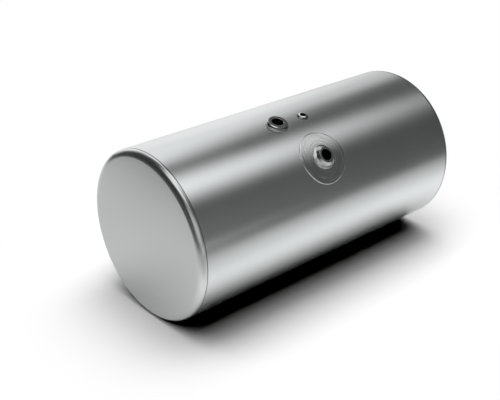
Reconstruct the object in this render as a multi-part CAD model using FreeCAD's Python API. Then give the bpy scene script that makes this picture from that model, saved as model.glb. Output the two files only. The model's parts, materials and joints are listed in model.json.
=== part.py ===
"""Cylindrical aluminium fuel tank for a truck, as a bare welded tank.

Millimetres. X runs along the tank, Z is up, and the origin is under the middle
of the tank, where its shell meets the ground. The filler side faces -Y.
Every piece is built about the tank's own axis and lifted by the tank's radius
when it is written.
"""

import FreeCAD
import Part

import math
import os

from FreeCAD import Vector

# Shell: one rolled sheet closed by a seam along its length
TANK_DIAMETER = 622.0
SHELL_LENGTH = 1231.0
SHELL_THICKNESS = 3.2
EDGE_BEVEL = 1.5            # on both plates where a head meets the shell
SEAM_ANGLE = -112.0         # from the top, towards the side away from the filler
SEAM_BEAD_WIDTH = 8.0
SEAM_BEAD_HEIGHT = 0.8

# Heads: pressed, flat faced, with a joggled skirt that slips into the shell
HEAD_THICKNESS = 4.0
KNUCKLE_RADIUS = 22.0
HEAD_LAND = 1.0             # straight run between the knuckle and the seam
SKIRT_LENGTH = 18.0
SKIRT_CLEARANCE = 0.3
SKIRT_LEAD_IN = 1.0
JOGGLE_REACH = 7.0          # how far into the knuckle the inside step starts
JOGGLE_RUN = 4.0            # how far past the seam the inside step ends

# Baffles: pressed plates that split the tank into bays
BAFFLE_SPACING = 410.0
BAFFLE_THICKNESS = 2.5
BAFFLE_CLEARANCE = 0.3
BAFFLE_FLANGE = 28.0
BAFFLE_CORNER_RADIUS = 8.0
BAFFLE_CENTRE_HOLE = 150.0
BAFFLE_SWAGE_DIAMETER = 470.0
BAFFLE_SWAGE_WIDTH = 26.0
BAFFLE_SWAGE_DEPTH = 7.0
FLOW_HOLE_DIAMETER = 84.0
FLOW_HOLE_CIRCLE = 300.0
FLOW_HOLE_COUNT = 4
HOLE_LIP_HEIGHT = 8.0
HOLE_LIP_WIDTH = 6.0
AIR_NOTCH_RADIUS = 24.0
DRAIN_NOTCH_RADIUS = 32.0

# Filler: a rolled saddle pad with a turned neck on it
FILLER_X = -22.5
FILLER_ANGLE = 50.0
PAD_DIAMETER = 198.0
PAD_THICKNESS = 3.0
PAD_EDGE_RADIUS = 1.2
NECK_BORE = 43.4
NECK_HEIGHT = 23.5          # from the shell to the lip
NECK_LIP_DIAMETER = 60.0
NECK_LIP_RADIUS = 0.8
NECK_FOOT_DIAMETER = 71.0   # where the leaning wall meets the shoulder
NECK_ROOT_RADIUS = 7.0
NECK_SHOULDER_DIAMETER = 84.0
NECK_SHOULDER_RISE = 2.6
NECK_FLANGE_DIAMETER = 90.0
NECK_FLANGE_THICKNESS = 3.4
NECK_FLANGE_EDGE = 1.4
NECK_SPIGOT_DIAMETER = 54.0
NECK_RELIEF_DIAMETER = 47.5
NECK_MOUTH_CHAMFER = 0.5

# Level sender boss and vent boss, turned and welded straight on the shell
BOSS_ANGLE = 16.0
SENDER_X = -105.0
SENDER_BORE = 40.4
SENDER_HEIGHT = 13.0
SENDER_FACE_DIAMETER = 70.4
SENDER_CHAMFER = 2.4
SENDER_LEDGE_DIAMETER = 80.4
SENDER_LEDGE_HEIGHT = 3.6
SENDER_ROOT_RADIUS = 1.2
SENDER_WELD_LEG = 2.6
SENDER_SPIGOT_DIAMETER = 52.0
SENDER_RELIEF_DIAMETER = 45.0
SENDER_MOUTH_CHAMFER = 2.2
VENT_X = 22.0
VENT_BORE = 20.4
VENT_HEIGHT = 7.2
VENT_CROWN_DIAMETER = 32.0  # where the gentle crown turns to the steeper bevel
VENT_CROWN_DROP = 1.6
VENT_CROWN_RADIUS = 1.2
VENT_SIDE_DIAMETER = 40.8
VENT_SIDE_HEIGHT = 2.4
VENT_WELD_LEG = 2.0
VENT_SPIGOT_DIAMETER = 30.4
VENT_RELIEF_DIAMETER = 25.0
VENT_MOUTH_CHAMFER = 0.6
SPIGOT_CLEARANCE = 0.3
SPIGOT_PROJECTION = 3.0     # past the inside of the shell
RELIEF_ABOVE_SEAT = 1.0     # where the thread ends above the piece's seat

# Drain: a boss welded in from inside, flush outside, with a socket plug
DRAIN_X = 0.0
DRAIN_ANGLE = 180.0
DRAIN_BOSS_DIAMETER = 48.0
DRAIN_BOSS_DEPTH = 20.0
DRAIN_FLANGE_DIAMETER = 66.0
DRAIN_FLANGE_THICKNESS = 4.0
DRAIN_BORE = 26.0
DRAIN_RECESS_DIAMETER = 36.0
DRAIN_RECESS_DEPTH = 8.0
DRAIN_CLEARANCE = 0.15
WASHER_OUTER_DIAMETER = 33.0
WASHER_INNER_DIAMETER = 27.0
WASHER_THICKNESS = 1.5
PLUG_COLLAR_DIAMETER = 32.0
PLUG_COLLAR_THICKNESS = 4.0
PLUG_SHANK_LENGTH = 11.0
PLUG_SOCKET_SIZE = 12.0     # across the flats
PLUG_SOCKET_DEPTH = 7.0
HEXAGON_SIDES = 6

# Working values that leave no mark on the tank
CUTTER_OVERRUN = 1.0        # how far a cutter runs past the face that it opens
EDGE_MATCH = 0.01           # how closely an edge lies on a surface to be picked
EDGE_SAMPLES = (0.1, 0.4, 0.7)

tank_radius = TANK_DIAMETER / 2
bore_radius = tank_radius - SHELL_THICKNESS
seam_x = SHELL_LENGTH / 2
head_depth = HEAD_LAND + KNUCKLE_RADIUS
inward_reach = SHELL_THICKNESS + SPIGOT_PROJECTION
port_depth = bore_radius / 2    # height above the axis, below every port

ALONG = Vector(1, 0, 0)
OUTWARD = Vector(0, 0, 1)


def unit(start, end):
    """Direction from one point to another, as a unit vector."""
    step = end - start
    return step / step.Length


def rounded_edges(corners, closed):
    """Edges through corners (x, z, radius): straight runs and tangent arcs."""
    points = [Vector(x, 0, z) for x, z, _ in corners]
    radii = [radius for _, _, radius in corners]
    count = len(points)
    arcs = []
    for i in range(count):
        inner = closed or 0 < i < count - 1
        if not inner or radii[i] <= 0:
            arcs.append((points[i], None, points[i]))
            continue
        back = unit(points[i], points[i - 1])
        on = unit(points[i], points[(i + 1) % count])
        half = back.getAngle(on) / 2
        reach = radii[i] / math.tan(half)
        middle = unit(Vector(0, 0, 0), back + on)
        top = points[i] + middle * (radii[i] / math.sin(half) - radii[i])
        arcs.append((points[i] + back * reach, top, points[i] + on * reach))
    edges = []
    for i in range(count):
        start, top, end = arcs[i]
        if top is not None:
            edges.append(Part.Arc(start, top, end).toShape())
        if not closed and i == count - 1:
            break
        following = arcs[(i + 1) % count][0]
        if (following - end).Length > 1e-6:
            edges.append(Part.LineSegment(end, following).toShape())
    return edges


def revolved(corners, axis):
    """Solid turned about an axis through the origin from a closed section."""
    wire = Part.Wire(rounded_edges(corners, closed=True))
    return Part.Face(wire).revolve(Vector(0, 0, 0), axis, 360)


def sheet_side(corners, thickness):
    """The other side of a bent sheet, thickness to the left of corners."""
    points = [Vector(x, 0, z) for x, z, _ in corners]
    runs = [unit(a, b) for a, b in zip(points, points[1:])]
    left = [Vector(-run.z, 0, run.x) for run in runs]
    other = []
    for i, point in enumerate(points):
        if i in (0, len(points) - 1):
            shift = left[0] if i == 0 else left[-1]
            radius = 0.0
        else:
            shift = (left[i - 1] + left[i]) / (1 + left[i - 1].dot(left[i]))
            turn = runs[i - 1].x * runs[i].z - runs[i - 1].z * runs[i].x
            radius = corners[i][2]
            if radius > 0:
                radius -= math.copysign(thickness, turn)
        place = point + shift * thickness
        other.append((place.x, place.z, radius))
    return other


def bent_sheet(corners, thickness, axis):
    """Pressed sheet of one thickness, turned about an axis through the origin."""
    other = sheet_side(corners, thickness)
    near = Part.Wire(rounded_edges(corners, closed=False))
    far = Part.Wire(rounded_edges(other, closed=False))
    ends = []
    for i in (0, -1):
        a = Vector(corners[i][0], 0, corners[i][1])
        b = Vector(other[i][0], 0, other[i][1])
        ends.append(Part.LineSegment(a, b).toShape())
    wire = Part.Wire(Part.__sortEdges__(near.Edges + far.Edges + ends))
    return Part.Face(wire).revolve(Vector(0, 0, 0), axis, 360)


def round_bar(radius, low, high, x=0.0, y=0.0):
    """Upright cylinder between two heights above the tank's axis."""
    return Part.makeCylinder(radius, high - low, Vector(x, y, low), OUTWARD)


def tank_round(radius, length):
    """Solid cylinder about the tank's axis, its own seam turned away from the top."""
    bar = Part.makeCylinder(radius, length, Vector(-length / 2, 0, 0), ALONG)
    bar.rotate(Vector(0, 0, 0), ALONG, 180)
    return bar


def at_port(shape, x, angle):
    """Turns a piece built at the top of the tank to its place on the shell."""
    placed = shape.copy()
    placed.rotate(Vector(0, 0, 0), ALONG, angle)
    placed.translate(Vector(x, 0, 0))
    return placed


def mirrored(shape):
    """The same piece at the other end of the tank."""
    return shape.mirror(Vector(0, 0, 0), ALONG)


def shell():
    """Rolled sheet with its closing seam, bevelled ends and port holes."""
    bevel = EDGE_BEVEL
    tube = revolved(
        [
            (-seam_x, bore_radius, 0),
            (seam_x, bore_radius, 0),
            (seam_x, tank_radius - bevel, 0),
            (seam_x - bevel, tank_radius, 0),
            (-seam_x + bevel, tank_radius, 0),
            (-seam_x, tank_radius - bevel, 0),
        ],
        ALONG,
    )
    tube = tube.fuse(seam_bead()).removeSplitter()
    holes = [
        (NECK_SPIGOT_DIAMETER, FILLER_X, FILLER_ANGLE),
        (SENDER_SPIGOT_DIAMETER, SENDER_X, BOSS_ANGLE),
        (VENT_SPIGOT_DIAMETER, VENT_X, BOSS_ANGLE),
        (DRAIN_BOSS_DIAMETER, DRAIN_X, DRAIN_ANGLE),
    ]
    for diameter, x, angle in holes:
        radius = diameter / 2 + SPIGOT_CLEARANCE
        drill = round_bar(radius, port_depth, tank_radius + CUTTER_OVERRUN)
        tube = tube.cut(at_port(drill, x, angle))
    return tube


def seam_bead():
    """Low rounded weld cap along the shell, sunk into half its thickness."""
    half = SEAM_BEAD_WIDTH / 2
    radius = (half**2 + SEAM_BEAD_HEIGHT**2) / (2 * SEAM_BEAD_HEIGHT)
    length = SHELL_LENGTH - 2 * EDGE_BEVEL
    centre = tank_radius + SEAM_BEAD_HEIGHT - radius
    cap = Part.makeCylinder(radius, length, Vector(-length / 2, 0, centre), ALONG)
    sunk = tank_round(tank_radius - SHELL_THICKNESS / 2, SHELL_LENGTH)
    return at_port(cap.cut(sunk), 0, SEAM_ANGLE)


def head():
    """Right-hand head: flat face, knuckle, land, and joggled inner skirt."""
    skirt_outer = bore_radius - SKIRT_CLEARANCE
    skirt_inner = skirt_outer - HEAD_THICKNESS
    face_x = seam_x + head_depth
    knuckle_x = seam_x + HEAD_LAND
    knuckle_z = tank_radius - KNUCKLE_RADIUS
    inner_radius = KNUCKLE_RADIUS - HEAD_THICKNESS
    diagonal = math.sqrt(0.5)
    leave = math.acos(JOGGLE_REACH / inner_radius)

    def on_arc(radius, angle):
        reach = Vector(math.cos(angle), 0, math.sin(angle)) * radius
        return Vector(knuckle_x, 0, knuckle_z) + reach

    outline = [
        Vector(face_x, 0, 0),
        Vector(face_x, 0, knuckle_z),
        Vector(knuckle_x, 0, tank_radius),
        Vector(seam_x + EDGE_BEVEL, 0, tank_radius),
        Vector(seam_x, 0, tank_radius - EDGE_BEVEL),
        Vector(seam_x, 0, skirt_outer),
        Vector(seam_x - SKIRT_LENGTH + SKIRT_LEAD_IN, 0, skirt_outer),
        Vector(seam_x - SKIRT_LENGTH, 0, skirt_outer - SKIRT_LEAD_IN),
        Vector(seam_x - SKIRT_LENGTH, 0, skirt_inner),
        Vector(seam_x - JOGGLE_RUN, 0, skirt_inner),
        on_arc(inner_radius, leave),
        Vector(face_x - HEAD_THICKNESS, 0, knuckle_z),
        Vector(face_x - HEAD_THICKNESS, 0, 0),
    ]
    outer_top = Vector(knuckle_x, 0, knuckle_z)
    outer_top += Vector(diagonal, 0, diagonal) * KNUCKLE_RADIUS
    middles = {1: outer_top, 10: on_arc(inner_radius, leave / 2)}
    edges = []
    for i, start in enumerate(outline):
        end = outline[(i + 1) % len(outline)]
        if i in middles:
            edges.append(Part.Arc(start, middles[i], end).toShape())
        else:
            edges.append(Part.LineSegment(start, end).toShape())
    return Part.Face(Part.Wire(edges)).revolve(Vector(0, 0, 0), ALONG, 360)


def baffle():
    """Right-hand baffle: pressed plate with swage, flow holes and notches."""
    plate_x = BAFFLE_SPACING / 2 + BAFFLE_THICKNESS
    crest_x = plate_x + BAFFLE_SWAGE_DEPTH
    rim = bore_radius - BAFFLE_CLEARANCE - BAFFLE_THICKNESS
    lip = BAFFLE_CENTRE_HOLE / 2 + BAFFLE_THICKNESS
    lip_root = lip + HOLE_LIP_WIDTH
    swage_in = (BAFFLE_SWAGE_DIAMETER - BAFFLE_SWAGE_WIDTH) / 2
    swage_out = (BAFFLE_SWAGE_DIAMETER + BAFFLE_SWAGE_WIDTH) / 2
    slope = BAFFLE_SWAGE_DEPTH
    plate = bent_sheet(
        [
            (plate_x + HOLE_LIP_HEIGHT, lip, 0),
            (plate_x, lip_root, 0),
            (plate_x, swage_in, 0),
            (crest_x, swage_in + slope, 0),
            (crest_x, swage_out - slope, 0),
            (plate_x, swage_out, 0),
            (plate_x, rim, BAFFLE_CORNER_RADIUS),
            (plate_x - BAFFLE_THICKNESS + BAFFLE_FLANGE, rim, 0),
        ],
        BAFFLE_THICKNESS,
        ALONG,
    )
    for i in range(FLOW_HOLE_COUNT):
        turn = math.radians(360 * (i + 0.5) / FLOW_HOLE_COUNT)
        y = FLOW_HOLE_CIRCLE / 2 * math.sin(turn)
        z = FLOW_HOLE_CIRCLE / 2 * math.cos(turn)
        plate = plate.cut(baffle_punch(FLOW_HOLE_DIAMETER / 2, y, z))
    for radius, side in ((AIR_NOTCH_RADIUS, 1), (DRAIN_NOTCH_RADIUS, -1)):
        plate = plate.cut(baffle_punch(radius, 0, side * bore_radius))
    return plate.removeSplitter()


def baffle_punch(radius, y, z):
    """Round punch through the whole depth of the right-hand baffle."""
    low = Vector(BAFFLE_SPACING / 2 - BAFFLE_FLANGE, y, z)
    return Part.makeCylinder(radius, 3 * BAFFLE_FLANGE, low, ALONG)


def filler_pad():
    """Saddle-shaped reinforcing pad rolled to the shell, with a rounded rim."""
    outer = tank_radius + PAD_THICKNESS
    blank = round_bar(PAD_DIAMETER / 2, port_depth, outer + CUTTER_OVERRUN)
    pad = blank.common(tank_round(outer, SHELL_LENGTH))
    pad = pad.cut(tank_round(tank_radius, SHELL_LENGTH))
    rim = [edge for edge in pad.Edges if is_pad_rim(edge, outer)]
    pad = pad.makeFillet(PAD_EDGE_RADIUS, rim).Solids[0]
    radius = NECK_SPIGOT_DIAMETER / 2 + SPIGOT_CLEARANCE
    pad = pad.cut(round_bar(radius, port_depth, outer + CUTTER_OVERRUN))
    return at_port(pad, FILLER_X, FILLER_ANGLE)


def sampled(edge):
    """A few points along an edge, away from its ends."""
    start, end = edge.ParameterRange
    return [edge.valueAt(start + (end - start) * share) for share in EDGE_SAMPLES]


def is_pad_rim(edge, outer):
    """True for an edge that lies on the pad's outer face."""
    return all(abs(math.hypot(p.y, p.z) - outer) < EDGE_MATCH for p in sampled(edge))


def turned_body(section, seat_radius):
    """Solid turned body that sits on a round seat.

    section is the outside from the lip to below the seat, as (radius, height
    above the shell, rounding).
    """
    outside = [(r, tank_radius + h, rounding) for r, h, rounding in section]
    inside = [(0, outside[-1][1], 0), (0, outside[0][1], 0)]
    body = revolved(outside + inside, OUTWARD)
    return body.cut(tank_round(seat_radius, SHELL_LENGTH))


def with_spigot_and_bore(body, lip, seat_radius, bore, mouth, relief, spigot):
    """Adds the spigot that passes the shell, and cuts the bore and its relief.

    lip is the height of the mouth above the shell, mouth the chamfer there,
    and bore, relief and spigot are diameters.
    """
    top = tank_radius + lip
    floor = tank_radius - inward_reach
    thread_end = seat_radius + RELIEF_ABOVE_SEAT
    boss = body.fuse(round_bar(spigot / 2, floor, thread_end))
    boss = boss.cut(round_bar(bore / 2, floor - CUTTER_OVERRUN, top + CUTTER_OVERRUN))
    boss = boss.cut(round_bar(relief / 2, floor - CUTTER_OVERRUN, thread_end))
    depth = mouth + CUTTER_OVERRUN
    foot = Vector(0, 0, top - mouth)
    cone = Part.makeCone(bore / 2, bore / 2 + depth, depth, foot, OUTWARD)
    return boss.cut(cone).removeSplitter()


def with_weld(boss, side_radius, leg):
    """Boss with a fillet weld along the line where its side meets the shell."""
    drum = tank_round(tank_radius, SHELL_LENGTH)
    joined = drum.fuse(boss)
    line = [edge for edge in joined.Edges if is_boss_foot(edge, side_radius)]
    return joined.makeChamfer(leg, line).cut(drum).Solids[0]


def is_boss_foot(edge, side_radius):
    """True for an edge on both the shell's outside and a boss's side."""
    for point in sampled(edge):
        off_shell = math.hypot(point.y, point.z) - tank_radius
        off_side = math.hypot(point.x, point.y) - side_radius
        if max(abs(off_shell), abs(off_side)) > EDGE_MATCH:
            return False
    return True


def filler_neck():
    """Turned neck with a leaning wall, a shoulder and a flange on the pad."""
    seat = tank_radius + PAD_THICKNESS
    flange_top = PAD_THICKNESS + NECK_FLANGE_THICKNESS
    wall_foot = flange_top + NECK_SHOULDER_RISE
    neck = turned_body(
        [
            (NECK_LIP_DIAMETER / 2, NECK_HEIGHT, NECK_LIP_RADIUS),
            (NECK_FOOT_DIAMETER / 2, wall_foot, NECK_ROOT_RADIUS),
            (NECK_SHOULDER_DIAMETER / 2, flange_top, 0),
            (NECK_FLANGE_DIAMETER / 2, flange_top, NECK_FLANGE_EDGE),
            (NECK_FLANGE_DIAMETER / 2, -flange_top, 0),
        ],
        seat,
    )
    neck = with_spigot_and_bore(
        neck,
        NECK_HEIGHT,
        seat,
        NECK_BORE,
        NECK_MOUTH_CHAMFER,
        NECK_RELIEF_DIAMETER,
        NECK_SPIGOT_DIAMETER,
    )
    return at_port(neck, FILLER_X, FILLER_ANGLE)


def sender_boss():
    """Large boss for the level sender, with a bevelled face and a welding ledge."""
    face = SENDER_FACE_DIAMETER / 2
    side = face + SENDER_CHAMFER
    ledge = SENDER_LEDGE_DIAMETER / 2
    boss = turned_body(
        [
            (face, SENDER_HEIGHT, 0),
            (side, SENDER_HEIGHT - SENDER_CHAMFER, 0),
            (side, SENDER_LEDGE_HEIGHT, SENDER_ROOT_RADIUS),
            (ledge, SENDER_LEDGE_HEIGHT, 0),
            (ledge, -SENDER_HEIGHT, 0),
        ],
        tank_radius,
    )
    boss = with_spigot_and_bore(
        with_weld(boss, ledge, SENDER_WELD_LEG),
        SENDER_HEIGHT,
        tank_radius,
        SENDER_BORE,
        SENDER_MOUTH_CHAMFER,
        SENDER_RELIEF_DIAMETER,
        SENDER_SPIGOT_DIAMETER,
    )
    return at_port(boss, SENDER_X, BOSS_ANGLE)


def vent_boss():
    """Small boss for the vent, crowned round its mouth and bevelled outside that."""
    mouth = VENT_BORE / 2 + VENT_MOUTH_CHAMFER
    side = VENT_SIDE_DIAMETER / 2
    boss = turned_body(
        [
            (mouth, VENT_HEIGHT, 0),
            (VENT_CROWN_DIAMETER / 2, VENT_HEIGHT - VENT_CROWN_DROP, VENT_CROWN_RADIUS),
            (side, VENT_SIDE_HEIGHT, 0),
            (side, -VENT_HEIGHT, 0),
        ],
        tank_radius,
    )
    boss = with_spigot_and_bore(
        with_weld(boss, side, VENT_WELD_LEG),
        VENT_HEIGHT,
        tank_radius,
        VENT_BORE,
        VENT_MOUTH_CHAMFER,
        VENT_RELIEF_DIAMETER,
        VENT_SPIGOT_DIAMETER,
    )
    return at_port(boss, VENT_X, BOSS_ANGLE)


def drain_boss():
    """Boss with an inner flange, trimmed flush with the outside of the shell."""
    floor = tank_radius - DRAIN_BOSS_DEPTH
    flange_low = bore_radius - DRAIN_FLANGE_THICKNESS
    proud = tank_radius + CUTTER_OVERRUN
    inside = tank_round(bore_radius, SHELL_LENGTH)
    outside = tank_round(tank_radius, SHELL_LENGTH)
    body = round_bar(DRAIN_BOSS_DIAMETER / 2, floor, proud).common(outside)
    flange = round_bar(DRAIN_FLANGE_DIAMETER / 2, flange_low, tank_radius)
    boss = body.fuse(flange.common(inside))
    recess_floor = tank_radius - DRAIN_RECESS_DEPTH
    boss = boss.cut(round_bar(DRAIN_BORE / 2, floor - CUTTER_OVERRUN, proud))
    boss = boss.cut(round_bar(DRAIN_RECESS_DIAMETER / 2, recess_floor, proud))
    return at_port(boss.removeSplitter(), DRAIN_X, DRAIN_ANGLE)


def drain_washer():
    """Soft sealing washer on the floor of the boss's recess."""
    low = tank_radius - DRAIN_RECESS_DEPTH
    high = low + WASHER_THICKNESS
    washer = round_bar(WASHER_OUTER_DIAMETER / 2, low, high)
    hole = round_bar(WASHER_INNER_DIAMETER / 2, low - CUTTER_OVERRUN, high + CUTTER_OVERRUN)
    return at_port(washer.cut(hole), DRAIN_X, DRAIN_ANGLE)


def drain_plug():
    """Plug with a collar on the washer, a shank and a hexagon socket."""
    seat = tank_radius - DRAIN_RECESS_DEPTH + WASHER_THICKNESS
    top = seat + PLUG_COLLAR_THICKNESS
    shank_radius = DRAIN_BORE / 2 - DRAIN_CLEARANCE
    plug = round_bar(PLUG_COLLAR_DIAMETER / 2, seat, top)
    plug = plug.fuse(round_bar(shank_radius, seat - PLUG_SHANK_LENGTH, seat))
    corner = PLUG_SOCKET_SIZE / 2 / math.cos(math.pi / HEXAGON_SIDES)
    floor = top - PLUG_SOCKET_DEPTH
    ring = []
    for i in range(HEXAGON_SIDES + 1):
        angle = 2 * math.pi * i / HEXAGON_SIDES
        ring.append(Vector(corner * math.cos(angle), corner * math.sin(angle), floor))
    hexagon = Part.Face(Part.makePolygon(ring))
    socket = hexagon.extrude(Vector(0, 0, PLUG_SOCKET_DEPTH + CUTTER_OVERRUN))
    plug = plug.cut(socket).removeSplitter()
    return at_port(plug, DRAIN_X, DRAIN_ANGLE)


def pieces():
    """Every piece of the tank by name, about the tank's axis."""
    right_head = head()
    right_baffle = baffle()
    return {
        "shell": shell(),
        "left_head": mirrored(right_head),
        "right_head": right_head,
        "left_baffle": mirrored(right_baffle),
        "right_baffle": right_baffle,
        "filler_pad": filler_pad(),
        "filler_neck": filler_neck(),
        "sender_boss": sender_boss(),
        "vent_boss": vent_boss(),
        "drain_boss": drain_boss(),
        "drain_washer": drain_washer(),
        "drain_plug": drain_plug(),
    }


def main():
    """Writes one file for each piece, lifted so that the tank stands at Z 0."""
    os.makedirs("parts", exist_ok=True)
    for name, shape in pieces().items():
        shape.translate(Vector(0, 0, tank_radius))
        shape.exportStep(os.path.join("parts", name + ".step"))


main()
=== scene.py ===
"""A bare cylindrical aluminium fuel tank on a pale studio floor.

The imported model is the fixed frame. The shell, heads, pad, neck and bosses that it
holds are shown here as fine meshes of the same form, with their own finishes, and
the drain fittings and baffles keep their own meshes. Lengths named _mm are in
millimetres; everything else is in metres.
"""

import json
import logging
import math
from dataclasses import dataclass
from enum import Enum
from typing import Sequence

import bpy
from mathutils import Matrix, Vector


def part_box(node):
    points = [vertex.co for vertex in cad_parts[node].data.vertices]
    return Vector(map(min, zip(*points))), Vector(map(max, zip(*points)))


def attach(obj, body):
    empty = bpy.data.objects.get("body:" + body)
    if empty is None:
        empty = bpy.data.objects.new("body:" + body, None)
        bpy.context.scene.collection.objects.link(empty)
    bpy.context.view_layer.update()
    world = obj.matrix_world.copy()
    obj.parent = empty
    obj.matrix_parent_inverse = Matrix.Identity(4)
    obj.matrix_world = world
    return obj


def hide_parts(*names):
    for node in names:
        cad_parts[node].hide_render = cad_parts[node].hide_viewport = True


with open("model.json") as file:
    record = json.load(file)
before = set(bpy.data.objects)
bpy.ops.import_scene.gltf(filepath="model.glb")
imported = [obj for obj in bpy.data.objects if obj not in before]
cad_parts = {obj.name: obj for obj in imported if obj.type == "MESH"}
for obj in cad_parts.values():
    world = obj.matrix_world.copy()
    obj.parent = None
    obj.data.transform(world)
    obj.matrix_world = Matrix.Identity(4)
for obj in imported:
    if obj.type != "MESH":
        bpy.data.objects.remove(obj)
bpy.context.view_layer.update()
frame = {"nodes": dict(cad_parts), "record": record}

LOG = logging.getLogger("tank")
MM = 0.001
ROOT = "root"
TAU = 2.0 * math.pi
ALONG = Vector((1.0, 0.0, 0.0))
SHARP_ANGLE = math.radians(32.0)    # edges that bend more than this stay sharp
FACE_LEAN = (0.975, 0.995)          # how square a face is to its axis, as cosines
SHADE_EDGE_MM = 0.2                 # over which a bore's painted shade fades
NOISE_SPAN = (0.3, 0.7)             # where nearly all of a noise's values lie
FLAT = (1.0, 1.0, 0.0)              # keeps a vector's X and Y alone
FLOOR_DROP = 0.0002                 # keeps the floor clear of the tank's lowest line
DIRECT = 0.5                        # diffuse depth below which a ray hasn't yet bounced
MATH = "ShaderNodeMath"
VECTOR = "ShaderNodeVectorMath"
RANGE = "ShaderNodeMapRange"

Point = tuple[float, float]
Colour = tuple[float, float, float, float]
Tree = bpy.types.NodeTree
Socket = bpy.types.NodeSocket
Outputs = bpy.types.NodeOutputs
Material = bpy.types.Material
Piece = bpy.types.Object


def linear(code: str) -> Colour:
    """Turns an sRGB hex colour such as "#C0C4C8" into linear RGBA.

    Args:
        code: Six hex digits after a hash.

    Returns:
        Linear red, green and blue, and an alpha of 1.
    """
    parts = [int(code[i:i + 2], 16) / 255.0 for i in (1, 3, 5)]
    bent = [c / 12.92 if c <= 0.04045 else ((c + 0.055) / 1.055) ** 2.4 for c in parts]
    return (bent[0], bent[1], bent[2], 1.0)


# Node helpers


def add_node(tree: Tree, kind: str, inputs: dict | None = None, **settings: object) -> Outputs:
    """Adds one node with its settings, input values and incoming links.

    Args:
        tree: The node tree to add it to.
        kind: The node's class name.
        inputs: Input name or index to the output socket that feeds it, or to its value.
        **settings: Attributes of the node itself.

    Returns:
        The new node's outputs.
    """
    node = tree.nodes.new(kind)
    for name, value in settings.items():
        setattr(node, name, value)
    for key, value in (inputs or {}).items():
        if isinstance(value, Socket):
            tree.links.new(value, node.inputs[key])
        else:
            node.inputs[key].default_value = value
    return node.outputs


def either(tree: Tree, choice: Socket, yes: object, no: object) -> Socket:
    """Returns one term where the choice is 1 and the other where it is 0."""
    rest = add_node(tree, MATH, {0: 1.0, 1: choice}, operation="SUBTRACT")[0]
    first, second = (add_node(tree, MATH, {0: share, 1: term}, operation="MULTIPLY")[0]
                     for share, term in ((choice, yes), (rest, no)))
    return add_node(tree, MATH, {0: first, 1: second}, operation="ADD")[0]


def blank_material(name: str) -> tuple[Material, Tree]:
    """Returns a new material and its empty tree."""
    material = bpy.data.materials.new(name)
    material.use_nodes = True
    material.node_tree.nodes.clear()
    return material, material.node_tree


# Mesh helpers


class Slot(Enum):
    """The record's material slots, passed along with the pieces; they set no finish."""

    SHELL = "shell_sheet"
    HEAD = "head_sheet"
    PAD = "turned_pad"
    FITTING = "turned_fitting"


def circle(radius: float, steps: int) -> list[Point]:
    """Returns points round a circle, from its first axis towards its second."""
    angles = [TAU * i / steps for i in range(steps)]
    return [(radius * math.cos(a), radius * math.sin(a)) for a in angles]


def arc_points(centre: Point, radius: float, start: float, end: float, steps: int) -> list[Point]:
    """Returns points along an arc, given in degrees, both ends included."""
    angles = [math.radians(start + (end - start) * i / steps) for i in range(steps + 1)]
    return [(centre[0] + radius * math.cos(a), centre[1] + radius * math.sin(a)) for a in angles]


def eased_corners(corners: Sequence[tuple[float, float, float]], steps: int = 6) -> list[Point]:
    """Rounds the corners of a closed outline.

    Args:
        corners: Points as (across, up, rounding), in order round the outline.
        steps: Pieces in each rounded corner.

    Returns:
        The outline's points, closed from the last to the first.
    """
    out: list[Point] = []
    for i, (x, y, radius) in enumerate(corners):
        if radius <= 0.0:
            out.append((x, y))
            continue
        here = Vector((x, y))
        back = (Vector(corners[i - 1][:2]) - here).normalized()
        on = (Vector(corners[(i + 1) % len(corners)][:2]) - here).normalized()
        half = back.angle(on) / 2.0
        reach = radius / math.tan(half)
        middle = here + (back + on).normalized() * (radius / math.sin(half))
        first = here + back * reach - middle
        last = here + on * reach - middle
        sweep = first.angle_signed(last)
        for k in range(steps + 1):
            turned = first.copy()
            turned.rotate(Matrix.Rotation(-sweep * k / steps, 2))
            out.append((middle.x + turned.x, middle.y + turned.y))
    return out


class MeshMaker:
    """Gathers vertices and faces for one closed mesh."""

    def __init__(self) -> None:
        """Starts empty."""
        self.points: list[Vector] = []
        self.faces: list[tuple[int, ...]] = []

    def ring(self, points: Sequence[Vector]) -> list[int]:
        """Adds a ring of points and returns their numbers."""
        first = len(self.points)
        self.points.extend(points)
        return list(range(first, first + len(points)))

    def sweep(self, rings: Sequence[Sequence[Vector]], closed: bool) -> list[list[int]]:
        """Adds rings and joins each to the next with quads.

        Args:
            rings: Closed rings of equal count.
            closed: True where the last ring joins the first.

        Returns:
            The numbers of each ring's points.
        """
        numbers = [self.ring(points) for points in rings]
        for i in range(len(numbers) if closed else len(numbers) - 1):
            low, high = numbers[i], numbers[(i + 1) % len(numbers)]
            for k in range(len(low)):
                j = (k + 1) % len(low)
                self.faces.append((low[k], low[j], high[j], high[k]))
        return numbers

    def cap(self, ring: Sequence[int], centre: Vector) -> None:
        """Closes a ring with a fan to one centre point."""
        middle = len(self.points)
        self.points.append(centre)
        for i in range(len(ring)):
            self.faces.append((ring[i], ring[(i + 1) % len(ring)], middle))

    def build(self, name: str) -> Piece:
        """Makes the object, smooth shaded with its sharp edges kept.

        Args:
            name: The object's name.

        Returns:
            The linked object, at the origin.
        """
        mesh = bpy.data.meshes.new(name)
        mesh.from_pydata([tuple(p) for p in self.points], [], self.faces)
        mesh.validate()
        if signed_volume(mesh) < 0.0:
            mesh.flip_normals()
        mesh.shade_smooth()
        mesh.set_sharp_from_angle(angle=SHARP_ANGLE)
        return placed(name, mesh)


def placed(name: str, data: bpy.types.ID) -> Piece:
    """Returns a new object of a mesh, lamp or camera, linked to the scene."""
    piece = bpy.data.objects.new(name, data)
    bpy.context.scene.collection.objects.link(piece)
    return piece


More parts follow.
